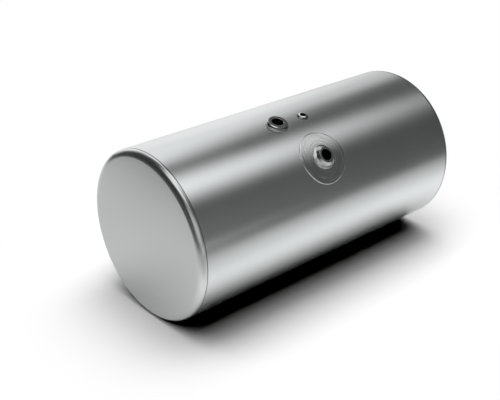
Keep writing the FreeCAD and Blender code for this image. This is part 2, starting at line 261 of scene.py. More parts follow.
def signed_volume(mesh: bpy.types.Mesh) -> float:
    """Returns the volume inside a closed mesh, negative where it is inside out."""
    total = 0.0
    for face in mesh.polygons:
        corners = [mesh.vertices[i].co for i in face.vertices]
        for a, b in zip(corners[1:], corners[2:]):
            total += corners[0].dot(a.cross(b))
    return total / 6.0


def dress(piece: Piece, material: Material) -> Piece:
    """Gives a piece one material, and returns it."""
    piece.data.materials.clear()
    piece.data.materials.append(material)
    return piece


def seated(piece: Piece, slot: Slot, *nodes: str) -> None:
    """Rides a finished piece on the tank and lets it stand for its solids."""
    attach(piece, ROOT)
    if nodes:
        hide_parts(*nodes)
    LOG.info("%s: %d faces", piece.name, len(piece.data.polygons))


def baked(piece: Piece) -> Piece:
    """Turns a piece's live modifiers into its own plain mesh.

    Args:
        piece: An object with modifiers.

    Returns:
        The same object, with the evaluated mesh and no modifier.
    """
    graph = bpy.context.evaluated_depsgraph_get()
    mesh = bpy.data.meshes.new_from_object(piece.evaluated_get(graph))
    piece.modifiers.clear()
    piece.data = mesh
    return piece


# Finishes


@dataclass(frozen=True)
class Metal:
    """A bare metal surface: its colour, gloss and the marks of how it was made.

    grain_mm is the spacing of the marks across their run, and grain_run_mm their
    length along it. Colour and roughness vary by the shares given, of which the marks
    bring mark_weight and slow clouds the rest. wander bends the marks. A face square to
    a turned piece's axis has its colour times face_painted_shade, and a wall along it
    wall_painted_shade, a painted shade set by the way the surface faces. wall_lean is how
    far a wall may turn from the axis, as cosines. Inside the radius bore_mm the colour
    is darkened to bore_painted_shade, a painted shade for the unlit bore. The joint at
    the distance joint_mm along X from the middle is darkened to joint_tone, in a line
    whose core and edge are joint_line_mm.
    """

    name: str
    colour: str
    roughness: float
    grain_mm: float
    grain_run_mm: float
    grain_depth_mm: float
    tone_share: float
    rough_share: float
    cloud_mm: float = 260.0
    mark_weight: float = 0.5
    wander: float = 0.0
    # Painted shade on turned pieces: by the way a surface faces, and inside the bore
    face_painted_shade: float = 1.0
    wall_painted_shade: float = 1.0
    wall_lean: Point = (0.30, 0.15)
    bore_mm: float = 0.0
    bore_painted_shade: float = 0.05
    joint_mm: float = 0.0
    joint_tone: float = 0.22
    joint_line_mm: Point = (1.3, 1.8)

    def build(self, axes: Matrix | None = None) -> Material:
        """Builds the material.

        Args:
            axes: A turned piece's axes, for lathe marks round its Z. Without them the
                marks are a straight grain along the tank.

        Returns:
            The new material.
        """
        material, tree = blank_material(self.name)
        place = add_node(tree, "ShaderNodeTexCoord")["Object"]
        if axes is None:
            marks = self.straight_marks(tree, place)
        else:
            turn = axes.inverted()
            place = add_node(tree, "ShaderNodeMapping", {
                "Vector": place, "Location": turn.to_translation(),
                "Rotation": turn.to_euler()})[0]
            marks = self.ring_marks(tree, place)
        clouds = add_node(tree, "ShaderNodeTexNoise", {
            "Vector": place, "Scale": 1.0 / (self.cloud_mm * MM), "Detail": 3.0,
            "Roughness": 0.55})[0]
        tone = self.spread(tree, marks, clouds, self.tone_share)
        # Painted shade on a turned piece's faces, walls and bore
        if axes is not None and self.bore_mm > 0.0:
            tone = add_node(tree, MATH, {0: tone, 1: self.turned_painted_shade(tree, place, axes)},
                            operation="MULTIPLY")[0]
        if self.joint_mm > 0.0:
            tone = add_node(tree, MATH, {0: tone, 1: self.joint_line(tree, place)},
                            operation="MULTIPLY")[0]
        colour = add_node(tree, VECTOR, {0: linear(self.colour)[:3], 1: tone},
                          operation="MULTIPLY")[0]
        varied = self.spread(tree, marks, clouds, self.rough_share)
        rough = add_node(tree, MATH, {0: varied, 1: self.roughness}, operation="MULTIPLY")[0]
        bump = add_node(tree, "ShaderNodeBump", {
            "Height": marks, "Strength": 1.0, "Distance": self.grain_depth_mm * MM})[0]
        shader = add_node(tree, "ShaderNodeBsdfPrincipled", {
            "Base Color": colour, "Roughness": rough, "Normal": bump, "Metallic": 1.0})[0]
        add_node(tree, "ShaderNodeOutputMaterial", {"Surface": shader})
        return material

    def joint_line(self, tree: Tree, place: Socket) -> Socket:
        """Returns the tone of the fine dark line where a head meets the shell."""
        along = add_node(tree, "ShaderNodeSeparateXYZ", {0: place})[0]
        far = add_node(tree, MATH, {0: along}, operation="ABSOLUTE")[0]
        off = add_node(tree, MATH, {0: far, 1: self.joint_mm * MM}, operation="SUBTRACT")[0]
        off = add_node(tree, MATH, {0: off}, operation="ABSOLUTE")[0]
        core, edge = self.joint_line_mm
        return add_node(tree, RANGE, {
            "Value": off, "From Min": core * MM, "From Max": edge * MM,
            "To Min": self.joint_tone, "To Max": 1.0})[0]

    def turned_painted_shade(self, tree: Tree, place: Socket, axes: Matrix) -> Socket:
        """Returns the painted shade of a turned piece's faces, walls and bore."""
        way = add_node(tree, "ShaderNodeNewGeometry")["True Normal"]
        square = add_node(tree, VECTOR, {0: way, 1: axes.col[2][:3]},
                          operation="DOT_PRODUCT")["Value"]
        flat = add_node(tree, VECTOR, {0: place, 1: FLAT}, operation="MULTIPLY")[0]
        radius = add_node(tree, VECTOR, {0: flat}, operation="LENGTH")["Value"]
        painted_shade_span = ((self.bore_mm - SHADE_EDGE_MM) * MM, self.bore_mm * MM)
        # Painted shade: faces and walls darker by the way they face, and the bore dark
        face, wall, bore = (
            add_node(tree, RANGE, {"Value": value, "From Min": start, "From Max": end,
                                   "To Min": low, "To Max": high})[0]
            for value, (start, end), low, high in (
                (square, FACE_LEAN, 1.0, self.face_painted_shade),
                (square, self.wall_lean, 1.0, self.wall_painted_shade),
                (radius, painted_shade_span, self.bore_painted_shade, 1.0)))
        both = add_node(tree, MATH, {0: face, 1: wall}, operation="MULTIPLY")[0]
        return add_node(tree, MATH, {0: both, 1: bore}, operation="MULTIPLY")[0]

    def straight_marks(self, tree: Tree, place: Socket) -> Socket:
        """Returns fine streaks that run along X, as a value about a half."""
        across = 1.0 / (self.grain_mm * MM)
        stretched = add_node(tree, "ShaderNodeMapping", {
            "Vector": place, "Scale": (1.0 / (self.grain_run_mm * MM), across, across)})[0]
        return add_node(tree, "ShaderNodeTexNoise", {
            "Vector": stretched, "Scale": 1.0, "Detail": 4.0, "Roughness": 0.6})[0]

    def ring_marks(self, tree: Tree, place: Socket) -> Socket:
        """Returns lathe rings round Z that fade in and out along the turn, about a half."""
        flat = add_node(tree, VECTOR, {0: place, 1: FLAT}, operation="MULTIPLY")[0]
        radius = add_node(tree, VECTOR, {0: flat}, operation="LENGTH")["Value"]
        climb = add_node(tree, "ShaderNodeSeparateXYZ", {0: place})[2]
        reach = add_node(tree, MATH, {0: radius, 1: climb}, operation="ADD")[0]
        step = add_node(tree, MATH, {0: reach, 1: self.grain_mm * MM}, operation="DIVIDE")[0]
        rise = add_node(tree, "ShaderNodeCombineXYZ", {2: step})[0]
        drift = add_node(tree, VECTOR, {0: flat, "Scale": 1.0 / (self.grain_run_mm * MM)},
                         operation="SCALE")[0]
        where = add_node(tree, VECTOR, {0: drift, 1: rise}, operation="ADD")[0]
        return add_node(tree, "ShaderNodeTexNoise", {
            "Vector": where, "Scale": 1.0, "Detail": 3.0, "Roughness": 0.6,
            "Distortion": self.wander})[0]

    def spread(self, tree: Tree, marks: Socket, clouds: Socket, share: float) -> Socket:
        """Returns a factor about 1 that the marks and the clouds move by a share."""
        first, second = (
            add_node(tree, MATH, {0: value, 1: weight}, operation="MULTIPLY")[0]
            for value, weight in ((marks, self.mark_weight), (clouds, 1.0 - self.mark_weight)))
        both = add_node(tree, MATH, {0: first, 1: second}, operation="ADD")[0]
        low, high = NOISE_SPAN
        return add_node(tree, RANGE, {"Value": both, "From Min": low, "From Max": high,
                                      "To Min": 1.0 - share, "To Max": 1.0 + share})[0]


@dataclass(frozen=True)
class Finishes:
    """Every finish on the tank."""

    # Rolled sheet, linished along its length: an even satin that stretches reflections
    shell: Metal = Metal("satin_rolled_aluminium", "#E2E5E5", 0.24, 0.6, 60.0, 0.004, 0.02, 0.08,
                         joint_mm=615.5)
    # Pressed sheet: drawn over a die, so smoother than the shell
    head: Metal = Metal("satin_pressed_aluminium", "#DCDFDE", 0.22, 0.7, 40.0, 0.003, 0.015, 0.06,
                        joint_mm=615.5)
    # Pad faced on a lathe before it was rolled: round feed marks
    pad: Metal = Metal("faced_aluminium", "#DBDEDD", 0.21, 3.6, 90.0, 0.15, 0.33, 0.32,
                       mark_weight=0.9, wander=1.2)
    # Turned fittings: bright, fine feed marks
    fitting: Metal = Metal("turned_aluminium", "#E6E9E8", 0.10, 1.5, 25.0, 0.002, 0.08, 0.30)
    # Vent boss: the same, with painted shade on its sloping shoulder and in its bore
    vent: Metal = Metal("turned_vent_aluminium", "#DADDDC", 0.13, 1.5, 25.0, 0.004, 0.10, 0.30,
                        wall_painted_shade=0.30, wall_lean=(0.92, 0.86), bore_mm=11.4)
    # Filler neck: turned more coarsely and rubbed by nozzles, with painted shade on its faces, its
    # flared wall and its bore
    neck: Metal = Metal("worn_and_shaded_turned_aluminium", "#DEE1E0", 0.25, 2.2, 14.0, 0.05, 0.22, 0.35,
                        mark_weight=0.8, wander=0.8, face_painted_shade=0.50,
                        wall_painted_shade=0.72, wall_lean=(0.82, 0.58), bore_mm=22.1)
    # Sender boss: turned from bar, with painted shade on its faces, deeper painted shade on its
    # wall, and painted shade in its bore
    boss: Metal = Metal("shaded_turned_bar_aluminium", "#DCDFDE", 0.16, 1.5, 25.0, 0.01, 0.12, 0.30,
                        face_painted_shade=0.45, wall_painted_shade=0.22, bore_mm=22.0)
    # Cut threads: dull, their colour darkened as a painted shade for the bore they sit in
    thread: Metal = Metal("shaded_cut_aluminium", "#6C6E6F", 0.38, 0.5, 6.0, 0.003, 0.10, 0.20)
    # Weld metal: cast-like skin, duller than the sheet
    weld: Metal = Metal("weld_aluminium", "#C9CBCC", 0.38, 1.2, 1.2, 0.02, 0.05, 0.12)
    # Small weld: greyer, a painted shade for the shadow round the vent's foot
    shaded_weld: Metal = Metal("shaded_weld_aluminium", "#8C8E8F", 0.44, 1.2, 1.2, 0.02, 0.08, 0.12)
    # Mill finish inside the tank
    mill: Metal = Metal("mill_aluminium", "#C6C8CA", 0.42, 0.8, 50.0, 0.004, 0.03, 0.10)
    # Zinc plate on the steel plug
    zinc: Metal = Metal("zinc_plated_steel", "#B4B6B4", 0.34, 0.8, 0.8, 0.006, 0.04, 0.15)
    # Annealed copper washer, dulled by handling
    copper: Metal = Metal("annealed_copper", "#B87759", 0.36, 0.6, 0.6, 0.006, 0.05, 0.15)


# Pieces of the tank


def port_axes(x: float, outward: Vector, centre_z: float) -> Matrix:
    """Returns the turn and shift from a port's own axes to the tank's.

    Args:
        x: Where the port's axis crosses the tank's own axis.
        outward: The way the port faces, which is its Z. Its X runs along the tank.
        centre_z: Height of the tank's axis.

    Returns:
        A 4 by 4 matrix.
    """
    out = outward.normalized()
    turn = Matrix((ALONG, out.cross(ALONG), out)).transposed().to_4x4()
    return Matrix.Translation((x, 0.0, centre_z)) @ turn


@dataclass(frozen=True)
class Drum:
    """The tank's main sizes: the shell's radius, and how far its parts reach along X."""

    radius: float
    seam_x: float
    face_x: float
    skirt_x: float

    @classmethod
    def measured(cls) -> "Drum":
        """Reads the shell's and the head's places from the frame."""
        low, high = (Vector(c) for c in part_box("shell"))
        head_low, head_high = (Vector(c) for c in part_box("right_head"))
        return cls((high.y - low.y) / 2.0, high.x, head_high.x, head_low.x)

    @property
    def centre_z(self) -> float:
        """Height of the tank's axis, one radius above its lowest line."""
        return self.radius

    def port(self, mount: str) -> Matrix:
        """Returns a port's axes, from the record's mount of that name."""
        for row in frame["record"]["mounts"]:
            if row["name"] == mount:
                return port_axes(row["pos_m"][0], Vector(row["axis"]), self.centre_z)
        raise KeyError(mount)

    def ring(self, x: float, radius: float, steps: int) -> list[Vector]:
        """Returns points round the tank's own axis, from the top."""
        return [Vector((x, across, self.centre_z + up)) for up, across in circle(radius, steps)]


@dataclass(frozen=True)
class Shell:
    """Rolled sheet tube with bevelled ends and port holes.

    The drills reach from the first to the second height in drill_reach above the axis.
    A face whose normal is within the cosine round_lean of straight out is a round one.
    """

    drum: Drum
    thickness_mm: float = 3.2
    bevel_mm: float = 1.5
    round_steps: int = 384
    long_steps: int = 120
    inside_steps: int = 30
    holes_mm: tuple[tuple[str, float], ...] = (
        ("filler_bore", 54.6), ("sender_thread", 52.6), ("vent_thread", 31.0))
    drain_hole_mm: float = 48.6
    drill_reach: Point = (0.2, 0.4)
    drill_steps: int = 96
    round_lean: float = 0.995

    def build(self, finish: Material) -> None:
        """Builds the tube, cuts its holes and dresses it."""
        tube = self.tube()
        cutters = [self.cutter(self.drum.port(name), size) for name, size in self.holes_mm]
        drain = port_axes(0.0, Vector((0.0, 0.0, -1.0)), self.drum.centre_z)
        cutters.append(self.cutter(drain, self.drain_hole_mm))
        for cutter in cutters:
            cut = tube.modifiers.new("hole", "BOOLEAN")
            cut.operation = "DIFFERENCE"
            cut.solver = "EXACT"
            cut.object = cutter
        baked(tube)
        for cutter in cutters:
            bpy.data.objects.remove(cutter, do_unlink=True)
        self.true_normals(tube.data)
        seated(dress(tube, finish), Slot.SHELL, "shell")

    def tube(self) -> Piece:
        """Returns the tube before its holes are cut."""
        bevel = self.bevel_mm * MM
        outer = self.drum.radius
        inner = outer - self.thickness_mm * MM
        end = self.drum.seam_x
        line = [(-end, inner), (-end, outer - bevel)]
        for i in range(self.long_steps + 1):
            share = -1.0 + 2.0 * i / self.long_steps
            line.append((share * (end - bevel), outer))
        line += [(end, outer - bevel), (end, inner)]
        line += [(end - 2.0 * end * i / self.inside_steps, inner)
                 for i in range(1, self.inside_steps)]
        maker = MeshMaker()
        maker.sweep([self.drum.ring(x, radius, self.round_steps) for x, radius in line],
                    closed=True)
        return maker.build("shell_tube")

    def cutter(self, place: Matrix, size_mm: float) -> Piece:
        """Returns a plain drill through the wall at a port."""
        maker = MeshMaker()
        low, high = maker.sweep(
            [[place @ Vector((along, across, height))
              for along, across in circle(size_mm * MM / 2.0, self.drill_steps)]
             for height in self.drill_reach], closed=False)
        maker.faces.append(tuple(reversed(low)))
        maker.faces.append(tuple(high))
        return maker.build("drill")

    def true_normals(self, mesh: bpy.types.Mesh) -> None:
        """Sets the normals of the tube's round faces to point straight out."""
        centre_z = self.drum.centre_z
        normals = []
        for face in mesh.polygons:
            middle = face.center
            out = Vector((0.0, middle.y, middle.z - centre_z)).normalized()
            lean = face.normal.dot(out)
            for index in face.vertices:
                if abs(lean) > self.round_lean:
                    point = mesh.vertices[index].co
                    true = Vector((0.0, point.y, point.z - centre_z)).normalized()
                    normals.append(true if lean > 0.0 else -true)
                else:
                    normals.append(face.normal.copy())
        mesh.normals_split_custom_set(normals)


@dataclass(frozen=True)
class Head:
    """Pressed head: flat face, knuckle, short land and joggled inner skirt.

    knuckle_mm is how far the knuckle reaches in from the shell's radius, lead_mm the
    skirt's lead-in, and face_shares where the face's rings lie, as shares of the radius.
    """

    drum: Drum
    side: int
    thickness_mm: float = 4.0
    knuckle_mm: float = 26.0
    land_mm: float = 1.0
    bevel_mm: float = 1.5
    gap_mm: float = 3.5
    lead_mm: float = 1.0
    joggle_run_mm: float = 4.0
    joggle_reach_mm: float = 7.0
    face_shares: tuple[float, ...] = (0.12, 0.3, 0.5, 0.7, 0.85)
    inside_share: float = 0.4
    round_steps: int = 384
    knuckle_steps: int = 24
    joggle_steps: int = 10

    def outline(self) -> list[Point]:
        """Returns the head's half section, from the axis out and back inside."""
        face, seam, skirt = self.drum.face_x, self.drum.seam_x, self.drum.skirt_x
        outer = self.drum.radius
        sheet = self.thickness_mm * MM
        bevel = self.bevel_mm * MM
        lead = self.lead_mm * MM
        land = seam + self.land_mm * MM
        knuckle = face - land
        flatter = self.knuckle_mm * MM / knuckle
        skirt_out = outer - self.gap_mm * MM
        skirt_in = skirt_out - sheet
        inner = knuckle - sheet
        leave = math.degrees(math.acos(self.joggle_reach_mm * MM / inner))

        def bend(radius: float, start: float, end: float, steps: int) -> list[Point]:
            """Returns points round the knuckle, drawn out across the face."""
            return [(x, outer - self.knuckle_mm * MM + y * flatter)
                    for x, y in arc_points((land, 0.0), radius, start, end, steps)]

        line = [(face, outer * share) for share in self.face_shares]
        line += bend(knuckle, 0.0, 90.0, self.knuckle_steps)
        line += [(seam + bevel, outer), (seam, outer - bevel), (seam, skirt_out)]
        line += [(skirt + lead, skirt_out), (skirt, skirt_out - lead)]
        line += [(skirt, skirt_in), (seam - self.joggle_run_mm * MM, skirt_in)]
        line += bend(inner, leave, 0.0, self.joggle_steps)
        line.append((face - sheet, outer * self.inside_share))
        return line

    def build(self, finish: Material) -> None:
        """Turns the section into a closed pressing and dresses it."""
        maker = MeshMaker()
        rings = maker.sweep([self.drum.ring(self.side * x, radius, self.round_steps)
                             for x, radius in self.outline()], closed=False)
        face = self.side * self.drum.face_x
        inside = self.side * (self.drum.face_x - self.thickness_mm * MM)
        maker.cap(list(reversed(rings[0])), Vector((face, 0.0, self.drum.centre_z)))
        maker.cap(rings[-1], Vector((inside, 0.0, self.drum.centre_z)))
        name = "right_head" if self.side > 0 else "left_head"
        seated(dress(maker.build(name + "_pressing"), finish), Slot.HEAD, name)


@dataclass(frozen=True)
class TurnedPort:
    """A turned piece that stands on a round seat.

    outline_mm gives the section as (radius, height above the shell, rounding, how much
    of the seat's curve the point follows), closed from the last point to the first.
    """

    name: str
    node: str
    mount: str
    outline_mm: tuple[tuple[float, float, float, float], ...]
    steps: int = 192

    def build(self, drum: Drum, finish: Material) -> None:
        """Turns the outline about the port's axis, bent to the seat where it follows it."""
        place = drum.port(self.mount)
        line = eased_corners([(r * MM, h * MM, q * MM) for r, h, q, _ in self.outline_mm])
        rings = []
        for radius, height in line:
            follow = self.follow(radius, height)
            ring = []
            for along, across in circle(radius, self.steps):
                sag = drum.radius - math.sqrt(drum.radius ** 2 - across ** 2)
                up = drum.radius + height - follow * sag
                ring.append(place @ Vector((along, across, up)))
            rings.append(ring)
        maker = MeshMaker()
        maker.sweep(rings, closed=True)
        seated(dress(maker.build(self.name), finish), Slot.FITTING, self.node)

    def follow(self, radius: float, height: float) -> float:
        """Returns how much of the seat's curve a point follows: its nearest corner's share."""
        return min(self.outline_mm,
                   key=lambda c: math.hypot(c[0] * MM - radius, c[1] * MM - height))[3]


FILLER_NECK = TurnedPort("filler_neck_turned", "filler_neck", "filler_bore", (
    (23.75, -6.2, 0.0, 0.0), (23.75, 4.0, 0.0, 0.0),
    (21.7, 4.0, 0.0, 0.0), (21.7, 23.0, 0.2, 0.0),
    (22.2, 23.5, 0.2, 0.0), (30.0, 23.5, 1.2, 0.0),
    (36.0, 10.5, 14.0, 0.0), (45.0, 6.0, 1.6, 0.0),
    (45.0, 3.0, 0.0, 1.0), (27.0, 3.0, 0.0, 1.0),
    (27.0, -6.2, 0.0, 0.0),
))
SENDER_BOSS = TurnedPort("sender_boss_turned", "sender_boss", "sender_thread", (
    (22.5, -6.2, 0.0, 0.0), (22.5, 1.0, 0.0, 0.0),
    (21.1, 1.0, 0.0, 0.0), (21.1, 11.5, 0.2, 0.0),
    (22.4, 13.0, 0.3, 0.0), (34.8, 13.0, 0.3, 0.0),
    (37.6, 11.0, 0.8, 0.0), (37.6, 3.6, 1.2, 0.0),
    (40.2, 3.6, 0.6, 0.0), (40.2, 2.6, 0.4, 1.0),
    (42.8, 0.0, 0.0, 1.0), (26.0, 0.0, 0.0, 1.0),
    (26.0, -6.2, 0.0, 0.0),
))
VENT_BOSS = TurnedPort("vent_boss_turned", "vent_boss", "vent_thread", (
    (12.5, -6.2, 0.0, 0.0), (12.5, 1.0, 0.0, 0.0),
    (10.9, 1.0, 0.0, 0.0), (10.9, 6.9, 0.1, 0.0),
    (11.2, 7.2, 0.2, 0.0), (16.0, 5.6, 1.2, 0.0),
    (20.4, 2.4, 0.3, 0.0), (20.4, 2.0, 0.1, 1.0),
    (22.4, 0.0, 0.0, 1.0), (15.2, 0.0, 0.0, 1.0),
    (15.2, -6.2, 0.0, 0.0),
))


@dataclass(frozen=True)
class FillerPad:
    """Round pad rolled to the shell, its rim rounded over."""

    radius_mm: float = 99.0
    thickness_mm: float = 3.0
    rim_mm: float = 2.2
    rim_run_mm: float = 4.0
    hole_mm: float = 27.3
    steps: int = 256
    across_steps: int = 28

    def build(self, drum: Drum, finish: Material) -> None:
        """Bends a turned disc over the shell and dresses it."""
        place = drum.port("filler_bore")
        top, hole, rim = self.thickness_mm, self.hole_mm, self.radius_mm
        shares = [i / self.across_steps for i in range(1, self.across_steps)]
        corners = [(hole, 0.0, 0.0), (hole, top, 0.0)]
        corners += [(hole + (rim - self.rim_run_mm - hole) * share, top, 0.0) for share in shares]
        corners += [(rim, top, self.rim_mm), (rim, 0.0, 0.0)]
        corners += [(rim + (hole - rim) * share, 0.0, 0.0) for share in shares]
        rings = []
        for radius, height in eased_corners([(r * MM, h * MM, q * MM) for r, h, q in corners]):
            rings.append([
                place @ Vector((along, across,
                                math.sqrt((drum.radius + height) ** 2 - across ** 2)))
                for along, across in circle(radius, self.steps)])
        maker = MeshMaker()
        maker.sweep(rings, closed=True)
        seated(dress(maker.build("filler_pad_rolled"), finish), Slot.PAD, "filler_pad")


# Weld beads and threads, which follow a path


def recipe(name: str, numbers: Sequence[str], counts: Sequence[str] = ()) -> tuple[Tree, Outputs]:
    """Starts a Geometry Nodes tree that takes a geometry, named values and a finish.

    Args:
        name: The tree's name.
        numbers: Name of each value that is a length or a share.
        counts: Name of each value that is a whole number.

    Returns:
        The tree, and the sockets that give what was put in.
    """
    tree = bpy.data.node_groups.new(name, "GeometryNodeTree")
    rows = [("Geometry", "Geometry"), *((label, "Float") for label in numbers),
            *((label, "Int") for label in counts), ("Finish", "Material")]
    for label, kind in rows:
        tree.interface.new_socket(label, in_out="INPUT", socket_type="NodeSocket" + kind)
    tree.interface.new_socket("Geometry", in_out="OUTPUT", socket_type="NodeSocketGeometry")
    return tree, add_node(tree, "NodeGroupInput")


def end_recipe(tree: Tree, shape: Socket, finish: Socket) -> None:
    """Ends a tree: its copies made real, shaded smooth, with their material."""
    smooth = add_node(tree, "GeometryNodeSetShadeSmooth", {0: shape})[0]
    real = add_node(tree, "GeometryNodeRealizeInstances", {0: smooth})[0]
    dressed = add_node(tree, "GeometryNodeSetMaterial", {"Geometry": real, "Material": finish})[0]
    add_node(tree, "NodeGroupOutput", {0: dressed})


def run_recipe(piece: Piece, tree: Tree, values: dict[str, object]) -> None:
    """Runs a tree on a piece and keeps the plain mesh that it makes, facing outwards.

    Args:
        piece: The object that the tree starts from.
        tree: A tree made by recipe.
        values: Input name to value.
    """
    run = piece.modifiers.new(tree.name, "NODES")
    run.node_group = tree
    for socket in tree.interface.items_tree:
        if socket.in_out == "INPUT" and socket.name in values:
            run[socket.identifier] = values[socket.name]
    baked(piece)
    if signed_volume(piece.data) < 0.0:
        piece.data.flip_normals()


@dataclass(frozen=True)
class Bead:
    """A bead of weld metal along a path, with the ripples of its run.

    Its section is an oval about the path. The ripples bow forwards in the middle of
    the bead by a share of its width. They wander and vary by the share uneven, of which
    wander_scale turns pass in each ripple, and the shallowest has least_depth of the
    ripple's depth.
    """

    name: str
    width_mm: float
    height_mm: float
    ripple_mm: float = 2.2
    ripple_depth_mm: float = 0.22
    bow: float = 0.4
    uneven: float = 0.5
    seed: int = 11
    section_steps: int = 14
    ripple_steps: int = 5
    wander_scale: float = 0.4
    least_depth: float = 0.6

    def tree(self) -> Tree:
        """Builds the tree that sweeps the bead and presses its ripples in."""
        tree, given = recipe(
            self.name + "_run",
            ("Width", "Height", "Ripple Spacing", "Ripple Depth", "Bow", "Uneven"), ("Seed",))
        path = add_node(tree, "GeometryNodeMeshToCurve", {0: given["Geometry"]})[0]
        step = add_node(tree, MATH, {0: given["Ripple Spacing"], 1: self.ripple_steps},
                        operation="DIVIDE")[0]
        path = add_node(tree, "GeometryNodeResampleCurve", {"Curve": path, "Length": step},
                        mode="LENGTH")[0]
        upright = add_node(tree, "GeometryNodeInputNamedAttribute", {"Name": "upright"},
                           data_type="FLOAT_VECTOR")[0]
        path = add_node(tree, "GeometryNodeSetCurveNormal", {"Curve": path, "Normal": upright},
                        mode="FREE")[0]
        done = add_node(tree, "GeometryNodeSplineParameter")["Length"]
        path = add_node(tree, "GeometryNodeStoreNamedAttribute",
                        {"Geometry": path, "Name": "run", "Value": done})[0]
        oval = add_node(tree, "GeometryNodeCurvePrimitiveCircle",
                        {"Resolution": self.section_steps, "Radius": 1.0}, mode="RADIUS")[0]
        spot = add_node(tree, "GeometryNodeInputPosition")[0]
        side = add_node(tree, "ShaderNodeSeparateXYZ", {0: spot})[1]
        oval = add_node(tree, "GeometryNodeStoreNamedAttribute",
                        {"Geometry": oval, "Name": "across", "Value": side})[0]
        half = add_node(tree, MATH, {0: given["Width"], 1: 0.5}, operation="MULTIPLY")[0]
        size = add_node(tree, "ShaderNodeCombineXYZ", {0: given["Height"], 1: half, 2: 1.0})[0]
        oval = add_node(tree, "GeometryNodeTransform", {"Geometry": oval, "Scale": size})[0]
        bead = add_node(tree, "GeometryNodeCurveToMesh",
                        {"Curve": path, "Profile Curve": oval, "Fill Caps": True})[0]
        press = add_node(tree, MATH, {0: self.ripples(tree, given), 1: given["Ripple Depth"]},
                         operation="MULTIPLY")[0]
        push = add_node(tree, VECTOR, {0: upright, "Scale": press}, operation="SCALE")[0]
        bead = add_node(tree, "GeometryNodeSetPosition", {"Geometry": bead, "Offset": push})[0]
        end_recipe(tree, bead, given["Finish"])
        return tree

    def ripples(self, tree: Tree, given: Outputs) -> Socket:
        """Returns how far each point is pushed out: 0 on a ripple's crest, less beside it."""
        spacing = given["Ripple Spacing"]
        run, across = (
            add_node(tree, "GeometryNodeInputNamedAttribute", {"Name": name}, data_type="FLOAT")[0]
            for name in ("run", "across"))
        square = add_node(tree, MATH, {0: across, 1: across}, operation="MULTIPLY")[0]
        lead = add_node(tree, MATH, {0: given["Bow"], 1: given["Width"]}, operation="MULTIPLY")[0]
        bowed = add_node(tree, MATH, {0: square, 1: lead}, operation="MULTIPLY")[0]
        place = add_node(tree, "GeometryNodeInputPosition")[0]
        scale = add_node(tree, MATH, {0: self.wander_scale, 1: spacing}, operation="DIVIDE")[0]
        wave = add_node(tree, "ShaderNodeTexNoise",
                        {"Vector": place, "W": given["Seed"], "Scale": scale, "Detail": 1.0},
                        noise_dimensions="4D")[0]
        varied = add_node(tree, MATH, {0: wave, 1: given["Uneven"]}, operation="MULTIPLY")[0]
        drift = add_node(tree, MATH, {0: varied, 1: spacing}, operation="MULTIPLY")[0]
        done = add_node(tree, MATH, {0: run, 1: bowed}, operation="ADD")[0]
        done = add_node(tree, MATH, {0: done, 1: drift}, operation="ADD")[0]
        count = add_node(tree, MATH, {0: done, 1: spacing}, operation="DIVIDE")[0]
        phase = add_node(tree, MATH, {0: count}, operation="FRACT")[0]
        swing = add_node(tree, MATH, {0: phase, 1: 2.0}, operation="MULTIPLY")[0]
        swing = add_node(tree, MATH, {0: swing, 1: 1.0}, operation="SUBTRACT")[0]
        dip = add_node(tree, MATH, {0: swing, 1: swing}, operation="MULTIPLY")[0]
        depth = add_node(tree, MATH, {0: varied, 1: self.least_depth}, operation="ADD")[0]
        inward = add_node(tree, MATH, {0: depth, 1: -1.0}, operation="MULTIPLY")[0]
        return add_node(tree, MATH, {0: dip, 1: inward}, operation="MULTIPLY")[0]

    def lay(self, path: Sequence[Vector], upright: Sequence[Vector], closed: bool,
            finish: Material, slot: Slot) -> None:
        """Lays the bead along a path and seats it.

        Args:
            path: Points along the bead's root.
            upright: The way the bead stands at each point.
            closed: True where the last point runs on to the first.
            finish: The weld's material.
            slot: The material slot it belongs to; not used.
        """
        count = len(path)
        edges = [(i, (i + 1) % count) for i in range(count if closed else count - 1)]
        mesh = bpy.data.meshes.new(self.name)
        mesh.from_pydata([tuple(p) for p in path], edges, [])
        ways = mesh.attributes.new("upright", "FLOAT_VECTOR", "POINT")
        for i, way in enumerate(upright):
            ways.data[i].vector = way
        piece = placed(self.name, mesh)
        run_recipe(piece, self.tree(), {
            "Width": self.width_mm * MM, "Height": self.height_mm * MM,
            "Ripple Spacing": self.ripple_mm * MM, "Ripple Depth": self.ripple_depth_mm * MM,
            "Bow": self.bow, "Uneven": self.uneven, "Seed": self.seed, "Finish": finish,
        })
        seated(piece, slot)


@dataclass(frozen=True)
class RingBead:
    """A weld bead round a port's foot, in the corner between it and its round seat.

    radius_mm and height_mm place the bead's root, and seat_mm is the seat's height
    above the shell. A bead marked dark_painted takes the darker weld, a painted shade.
    """

    bead: Bead
    mount: str
    radius_mm: float
    height_mm: float
    seat_mm: float = 0.0
    dark_painted: bool = False
    steps: int = 180

    def build(self, drum: Drum, finish: Material) -> None:
        """Lays the bead round the foot."""
        place = drum.port(self.mount)
        turn = place.to_3x3()
        seat = drum.radius + self.seat_mm * MM
        path, upright = [], []
        for (along, across), radial in zip(circle(self.radius_mm * MM, self.steps),
                                           circle(1.0, self.steps)):
            up = math.sqrt(seat ** 2 - across ** 2)
            path.append(place @ Vector((along, across, up + self.height_mm * MM)))
            outward = Vector((0.0, across, up)).normalized()
            upright.append(turn @ (Vector((*radial, 0.0)) + outward).normalized())
        self.bead.lay(path, upright, True, finish, Slot.FITTING)


RING_BEADS = (
    RingBead(Bead("sender_foot_weld", 3.8, 1.1, seed=3), "sender_thread", 41.1, 0.9),
    # The vent's bead takes the darker weld, a painted shade round its foot
    RingBead(Bead("vent_foot_weld", 2.9, 0.85, ripple_mm=1.8, seed=5), "vent_thread", 21.1, 0.7,
             dark_painted=True),
    RingBead(Bead("neck_flange_weld", 4.4, 1.3, ripple_mm=2.4, seed=8), "filler_bore", 44.9, 1.3,
             seat_mm=3.0),
)


